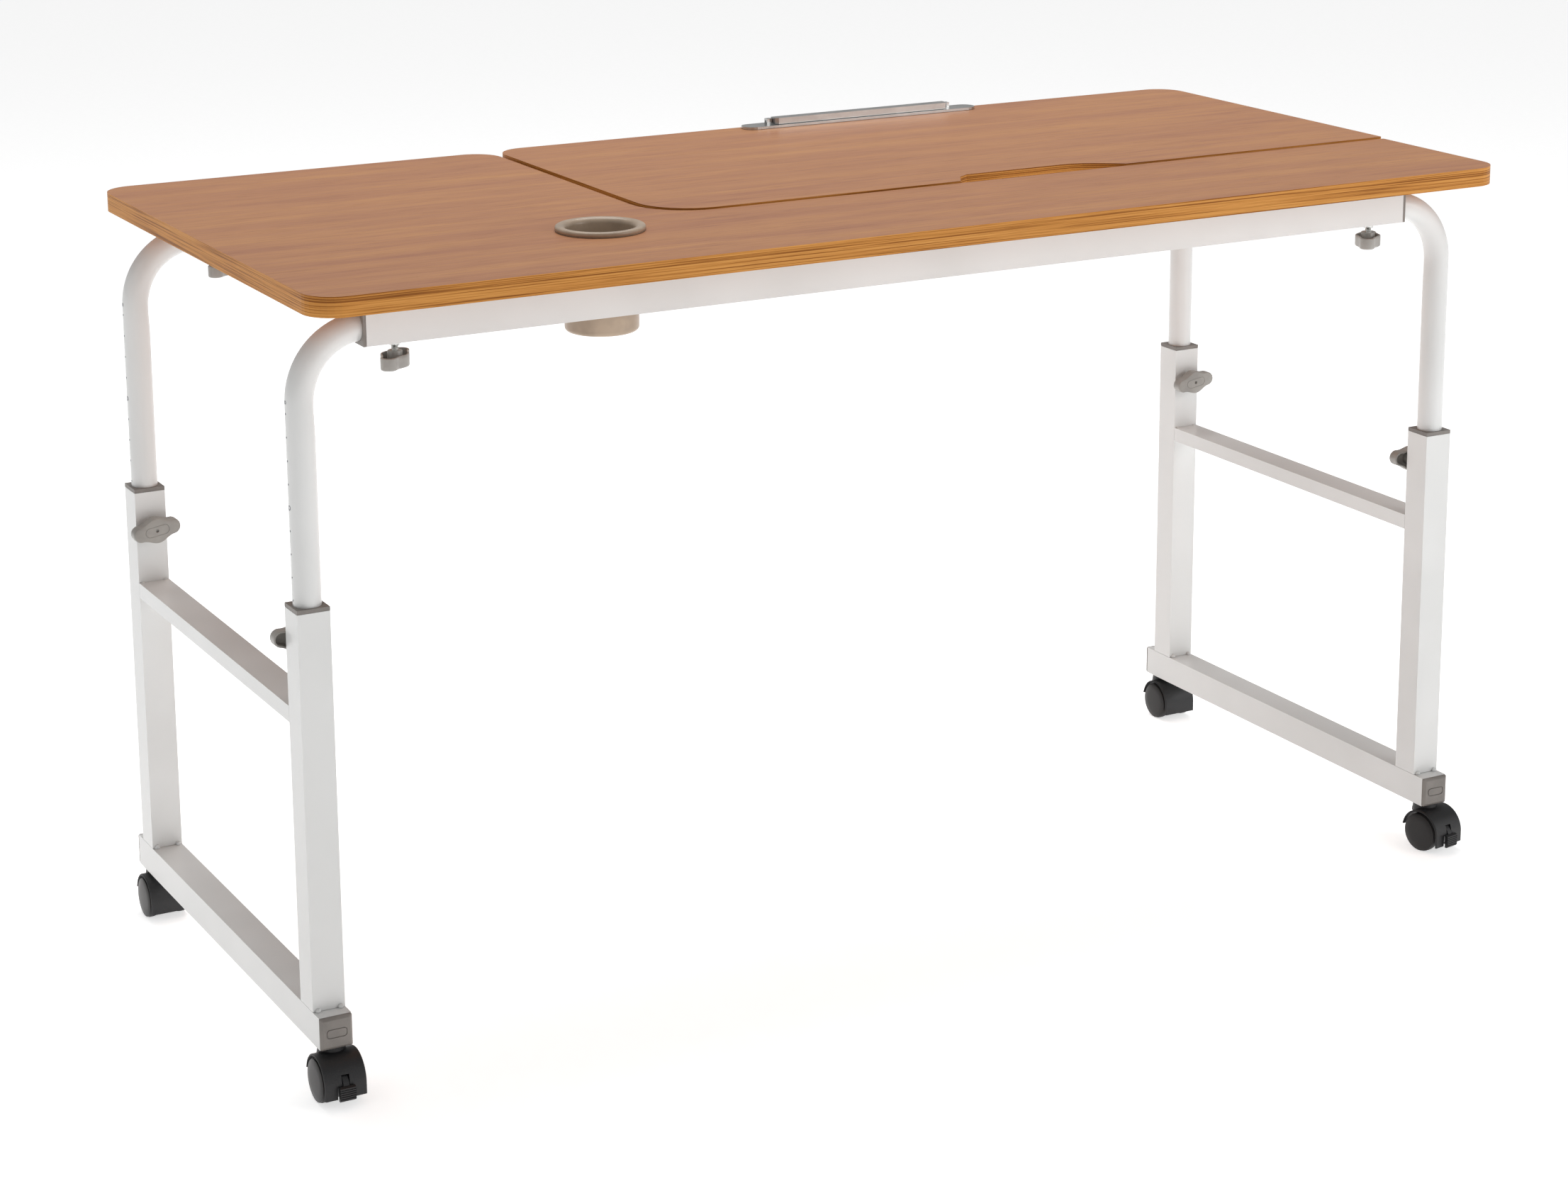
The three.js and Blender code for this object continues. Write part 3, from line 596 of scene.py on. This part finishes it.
def add_caster(side, row):
    corner = f"{side}_{row}"
    housing = f"{corner}_caster_housing"
    wheel_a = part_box(f"{corner}_caster_wheel_a")
    wheel_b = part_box(f"{corner}_caster_wheel_b")
    axle = (wheel_a[0] + wheel_a[1] + wheel_b[0] + wheel_b[1]) / 4
    axle.z = AXLE_HEIGHT
    turn = Matrix.Rotation(CASTER_TURN.get(corner, 0.0), 4, "Z")
    stem = axle - turn @ Vector((0, -CASTER_TRAIL, 0))
    place = Matrix.Translation((stem.x, stem.y, 0)) @ turn
    half = WHEEL_OUTER_FACE
    body = f"{corner}_caster"
    braked = row == "front"

    shift = Matrix.Translation((0, -CASTER_TRAIL, 0))
    verts, faces = hood_skin(half, HOOD_R, axle.z, braked)
    plastic = "black_plastic"
    hood = make_piece(f"{housing}_hood", verts, faces, plastic, body, [housing], 35, place @ shift)
    thicken = hood.modifiers.new("shell", "SOLIDIFY")
    thicken.thickness = HOOD_SHELL
    thicken.offset = -1
    bevel(hood, 0.35 * MM, 2, 50)

    bar_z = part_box(f"{side}_foot_bar")[0].z
    neck = turned([
        (ON_AXIS, axle.z + 18 * MM),
        (13.4 * MM, axle.z + 18 * MM),
        (12.7 * MM, axle.z + 22.6 * MM),
        (12.4 * MM, axle.z + 24.5 * MM),
        (12.4 * MM, bar_z - 0.8 * MM),
        (12.0 * MM, bar_z - 0.3 * MM),
        (ON_AXIS, bar_z - 0.3 * MM),
    ], 48)
    lay = Matrix.Translation((0, -CASTER_TRAIL, axle.z)) @ Matrix.Rotation(math.pi / 2, 4, "Y")
    core = moved(turned([
        (ON_AXIS, -9.2 * MM),
        (17.0 * MM, -9.2 * MM),
        (18.0 * MM, -8.2 * MM),
        (18.0 * MM, 8.2 * MM),
        (17.0 * MM, 9.2 * MM),
        (ON_AXIS, 9.2 * MM),
    ], 48), lay)
    axle_pin = moved(turned([
        (ON_AXIS, -18.8 * MM),
        (2.6 * MM, -18.8 * MM),
        (2.6 * MM, 18.8 * MM),
        (ON_AXIS, 18.8 * MM),
    ], 24), lay)
    verts, faces = join_parts(neck, core, axle_pin)
    make_piece(f"{housing}_core", verts, faces, "black_plastic", body, (), 35, place)

    for letter, direction in (("a", -1), ("b", 1)):
        add_wheel(corner, letter, direction, place @ lay)
    if braked:
        add_brake(corner, place)


def add_wheel(corner, letter, direction, place):
    """Tread, a stepped rim and a slightly domed cover, turned about the axle."""
    node = f"{corner}_caster_wheel_{letter}"
    low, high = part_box(node)
    radius = (high.z - low.z) / 2
    inner, outer = WHEEL_INNER_FACE, WHEEL_OUTER_FACE
    tread = turned([
        (3.2 * MM, inner),
        (radius - 3 * MM, inner),
        (radius - 1.2 * MM, inner + 0.3 * MM),
        (radius - 0.3 * MM, inner + 1.2 * MM),
        (radius, inner + 2.6 * MM),
        (radius, outer - 2.4 * MM),
        (radius - 0.4 * MM, outer - 1.4 * MM),
        (radius - 1.0 * MM, outer - 1.1 * MM),
        (3.2 * MM, outer - 1.1 * MM),
    ], 72)
    cover = turned([
        (ON_AXIS, outer - 1.0 * MM),
        (radius - 0.7 * MM, outer - 1.2 * MM),
        (radius - 0.7 * MM, outer - 0.2 * MM),
        (radius - 1.2 * MM, outer + 0.2 * MM),
        (radius * 0.6, outer + 0.75 * MM),
        (radius * 0.3, outer + 0.95 * MM),
        (ON_AXIS, outer + 1.0 * MM),
    ], 72)
    aim = place if direction > 0 else place @ Matrix.Rotation(math.pi, 4, "X")
    body = f"{corner}_wheel_{letter}"
    verts, faces = tread
    make_piece(f"{node}_tread", verts, faces, "tread_rubber", body, [node], 40, aim)
    verts, faces = cover
    make_piece(f"{node}_cover", verts, faces, "wheel_plastic", body, (), 40, aim)


def add_brake(corner, place):
    """A narrow arm in the hood's slot, ending in a wider foot pad with cross ribs."""
    node = f"{corner}_brake_pedal"
    pivot_y = -CASTER_TRAIL - PEDAL_PIVOT_AHEAD
    pivot_z = PEDAL_PIVOT_HEIGHT

    def plate(outline, half_width):
        rings = []
        for x in (-half_width, half_width):
            rings.append([Vector((x, pivot_y + y * MM, pivot_z + z * MM)) for y, z in outline])
        return loft(rings)

    arm = [(2, 3.4), (-7.6, 3.4), (-11.4, -0.4), (-13.4, -5.0)]
    arm += [(-13.8, -12.0), (-10.4, -12.0), (-10.0, -7), (2, -2.4)]
    pad = [(-12.8, -3.8), (-15.0, -4.3)]
    for rib in range(6):
        z = -4.8 - 2.0 * rib
        pad += [(-16.4, z), (-16.4, z - 1.1), (-15.7, z - 1.3), (-15.7, z - 1.8)]
    pad += [(-15.2, -17.1), (-12.8, -17.1)]
    verts, faces = join_parts(plate(arm, 2.7 * MM), plate(pad, 7.4 * MM))
    body = f"{corner}_brake"
    pedal = make_piece(
        f"{node}_ribbed", verts, faces, "black_plastic", body, [node], 25, place)
    bevel(pedal, 0.25 * MM, 2, 40)


# ---- foot caps: chamfered border and a shallow oblong outline ----
def rounded_rectangle(half_x, half_z, radius, y, centre, steps=6):
    ring = []
    for quadrant in range(4):
        sx = (1, -1, -1, 1)[quadrant]
        sz = (1, 1, -1, -1)[quadrant]
        for i in range(steps + 1):
            angle = (quadrant + i / steps) * math.pi / 2
            px = sx * (half_x - radius) + radius * math.cos(angle)
            pz = sz * (half_z - radius) + radius * math.sin(angle)
            ring.append(Vector((centre.x + px, y, centre.z + pz)))
    return ring


def foot_cap(side, row):
    node = f"{side}_{row}_foot_cap"
    low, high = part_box(node)
    sign = SIGN[row]
    centre = (low + high) / 2
    face = low.y if sign < 0 else high.y
    seat = face - sign * 3.5 * MM
    deep = high.y if sign < 0 else low.y
    half = (high.x - low.x) / 2
    groove = 0.7 * MM

    def ring(half_x, half_z, radius, back):
        return rounded_rectangle(half_x * MM, half_z * MM, radius * MM, face - sign * back * MM, centre)

    outside = half / MM
    depth_to = abs(face - deep) / MM
    seat_to = abs(face - seat) / MM
    rings = [
        ring(13.2, 13.2, 1, depth_to),
        ring(13.4, 13.4, 1, seat_to),
        ring(outside, outside, 1.6, seat_to),
        ring(outside, outside, 1.6, 2.3),
        ring(outside - 0.3, outside - 0.3, 1.6, 1.8),
        ring(outside - 2.3, outside - 2.3, 1.2, 0.2),
        ring(outside - 2.6, outside - 2.6, 1.2, 0.0),
        ring(9.8, 4.4, 3.4, 0.0),
        ring(9.7, 4.3, 3.3, groove / MM),
        ring(9.0, 3.6, 2.6, groove / MM),
        ring(8.8, 3.4, 2.4, 0.02),
    ]
    if sign > 0:
        rings = [r[::-1] for r in rings]
    verts, faces = loft(rings)
    make_piece(f"{node}_moulded", verts, faces, "grey_plastic", f"{side}_base", [node], 30)


# ---- weld beads where the leg and the crossbar meet the other tubes ----
def bead(centre, size, seed):
    """A small lumpy drop of weld metal, flattened and dented by noise."""
    rings = []
    for i in range(9):
        latitude = -math.pi / 2 + math.pi * (i + 0.5) / 9
        ring = []
        for j in range(14):
            longitude = 2 * math.pi * j / 14
            direction = Vector((
                math.cos(latitude) * math.cos(longitude),
                math.cos(latitude) * math.sin(longitude),
                math.sin(latitude),
            ))
            lump = 1 + 0.35 * noise.noise(direction * 1.7 + Vector((seed * 3.1, seed * 1.7, 0)))
            reach = Vector((direction.x * size[0], direction.y * size[1], direction.z * size[2]))
            ring.append(centre + reach * lump)
        rings.append(ring)
    return loft(rings)


def weld_beads(side):
    bar_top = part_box(f"{side}_foot_bar")[1].z
    crossbar_low, crossbar_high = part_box(f"{side}_crossbar")
    parts = []
    seed = 0
    for row in ("front", "rear"):
        low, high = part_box(f"{side}_{row}_leg")
        for y, out in ((low.y, -1), (high.y, 1)):
            for share in (0.16, 0.86):
                x = low.x + share * (high.x - low.x)
                seed += 1
                spot = Vector((x, y + out * 1.1 * MM, bar_top + 1.3 * MM))
                parts.append(bead(spot, (2.6 * MM, 2.2 * MM, 2.2 * MM), seed))
        inner_y = high.y if row == "front" else low.y
        out = 1 if row == "front" else -1
        for share in (0.12, 0.88):
            for z in (crossbar_low.z, crossbar_high.z):
                seed += 1
                x = low.x + share * (high.x - low.x)
                spot = Vector((x, inner_y + out * 0.8 * MM, z))
                parts.append(bead(spot, (1.9 * MM, 1.3 * MM, 1.2 * MM), seed))
    verts, faces = join_parts(*parts)
    make_piece(f"{side}_weld_beads", verts, faces, "white_paint", f"{side}_base", (), 60)


# ---- cup holder ----
def cup_holder():
    low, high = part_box("cup_holder")
    centre = (low + high) / 2
    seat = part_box("fixed_top")[1].z + 0.3 * MM
    bottom = low.z
    top = high.z
    body_r = 34 * MM
    inner_r = 31.5 * MM
    rim_r = 41 * MM
    profile = [(ON_AXIS, bottom), (29 * MM, bottom)]
    profile += [
        (body_r - 4 * MM * (1 - math.sin(a)), bottom + 4 * MM * (1 - math.cos(a)))
        for a in [math.pi / 2 * i / 6 for i in range(1, 7)]
    ]
    profile += [(body_r, seat), (rim_r - 0.4 * MM, seat)]
    rim_middle = (top + seat) / 2
    half_height = (top - seat) / 2
    profile += [
        (rim_r - half_height * 0.9 + half_height * math.cos(a), rim_middle + half_height * math.sin(a))
        for a in [-math.pi / 3 + (math.pi * 5 / 6) * i / 8 for i in range(9)]
    ]
    lip = 5 * MM
    profile += [
        (inner_r + lip * (1 - math.sin(a)), top - lip * (1 - math.cos(a)))
        for a in [math.pi / 2 * i / 7 for i in range(8)]
    ]
    profile += [(inner_r, bottom + 6 * MM), (inner_r - 1 * MM, bottom + 3.4 * MM)]
    profile += [(inner_r - 3.5 * MM, bottom + 2.5 * MM), (ON_AXIS, bottom + 2.5 * MM)]
    verts, faces = turned(profile, 96)
    place = Matrix.Translation((centre.x, centre.y, 0))
    plastic = "greige_plastic"
    make_piece("cup_holder_turned", verts, faces, plastic, "top", ["cup_holder"], 50, place)


# ---- screws that hold the board to the cross rails ----
def board_screws():
    parts = []
    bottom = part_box("left_cross_rail")[0].z
    rail_x = {side: middle(f"{side}_cross_rail").x for side in ("left", "right")}
    for side in ("left", "right"):
        for y in (-0.15, 0.0, 0.15):
            profile = [(ON_AXIS, 0.3 * MM), (3.9 * MM, 0.3 * MM), (3.9 * MM, -0.5 * MM)]
            profile += [(3.0 * MM, -1.7 * MM), (1.6 * MM, -2.1 * MM)]
            profile += [(1.3 * MM, -1.0 * MM), (ON_AXIS, -0.9 * MM)]
            part = turned(profile, 28)
            parts.append(moved(part, Matrix.Translation((rail_x[side], y, bottom))))
    verts, faces = join_parts(*parts)
    make_piece("board_screws", verts, faces, "zinc_steel", "top", (), 35)


# ---- stage, camera and light ----
def add_stage():
    """A wide white floor that glows a little, like a lit table, under a grey studio."""
    reach = 30.0
    steps = 24
    cells = range(steps)
    verts = []
    for row in range(steps + 1):
        for column in range(steps + 1):
            verts.append((-reach + 2 * reach * column / steps, -reach + 2 * reach * row / steps, 0))
    width = steps + 1
    starts = [row * width + column for row in cells for column in cells]
    faces = [(a, a + 1, a + width + 1, a + width) for a in starts]
    mesh = bpy.data.meshes.new("studio_floor")
    mesh.from_pydata(verts, [], faces)
    floor = bpy.data.objects.new("studio_floor", mesh)
    bpy.context.scene.collection.objects.link(floor)
    paper = Recipe("floor_paper", 0.9, specular=0.1)
    grain = paper.noise(paper.stretched((1, 1, 1)), 60, 3)
    colour = paper.ramp(grain, [(0.3, (0.90, 0.90, 0.90)), (0.7, (0.92, 0.92, 0.92))])
    paper.link(colour, paper.shader.inputs["Emission Color"])
    paper.shader.inputs["Emission Strength"].default_value = 0.66
    mesh.materials.append(paper.finish(colour))
    world = bpy.data.worlds.new("studio_grey")
    world.use_nodes = True
    world.node_tree.nodes["Background"].inputs[0].default_value = (1, 1, 1, 1)
    world.node_tree.nodes["Background"].inputs[1].default_value = 0.34
    bpy.context.scene.world = world


def add_light(name, place, aim, size, power):
    light = bpy.data.lights.new(name, "AREA")
    light.size = size
    light.energy = power
    lamp = bpy.data.objects.new(name, light)
    lamp.location = place
    lamp.rotation_euler = (Vector(aim) - Vector(place)).to_track_quat("-Z", "Y").to_euler()
    bpy.context.scene.collection.objects.link(lamp)


def add_camera():
    """The photograph's viewing angle: a long lens from the front left, with some lens shift."""
    place = Vector((-1.5574, -2.8385, 1.3090))
    yaw, pitch, roll = -0.4957, -0.2308, -0.0056
    focal_px, image_width, axis_y, image_height = 4754.3, 2212, 500, 1680
    forward = Vector((-math.sin(yaw) * math.cos(pitch), math.cos(yaw) * math.cos(pitch), math.sin(pitch)))
    right = forward.cross(Vector((0, 0, 1))).normalized()
    up = right.cross(forward)
    right, up = right * math.cos(roll) + up * math.sin(roll), up * math.cos(roll) - right * math.sin(roll)
    data = bpy.data.cameras.new("photo_view")
    data.sensor_width = 36
    data.lens = focal_px / image_width * data.sensor_width
    data.shift_y = (axis_y - image_height / 2) / image_width
    camera = bpy.data.objects.new("photo_view", data)
    bpy.context.scene.collection.objects.link(camera)
    camera.matrix_world = Matrix((
        (right.x, up.x, -forward.x, place.x),
        (right.y, up.y, -forward.y, place.y),
        (right.z, up.z, -forward.z, place.z),
        (0, 0, 0, 1),
    ))
    bpy.context.scene.camera = camera


dress_cad_nodes()
for corner_side, corner_row in CORNERS:
    bent_tube(corner_side, corner_row)
    corner_knobs(corner_side, corner_row)
    add_caster(corner_side, corner_row)
    foot_cap(corner_side, corner_row)
for frame_side in ("left", "right"):
    weld_beads(frame_side)
cup_holder()
board_screws()

add_stage()
add_light("key_left", (-2.9, -0.6, 1.7), (0, 0, 0.5), 1.7, 2.5)
add_light("fill_right", (2.2, -2.6, 1.4), (0.5, 0, 0.4), 1.5, 27)
add_light("top_soft", (0.2, 0.9, 3.4), (0, 0, 0.6), 2.4, 70)
bpy.context.scene.view_settings.view_transform = "Standard"
add_camera()
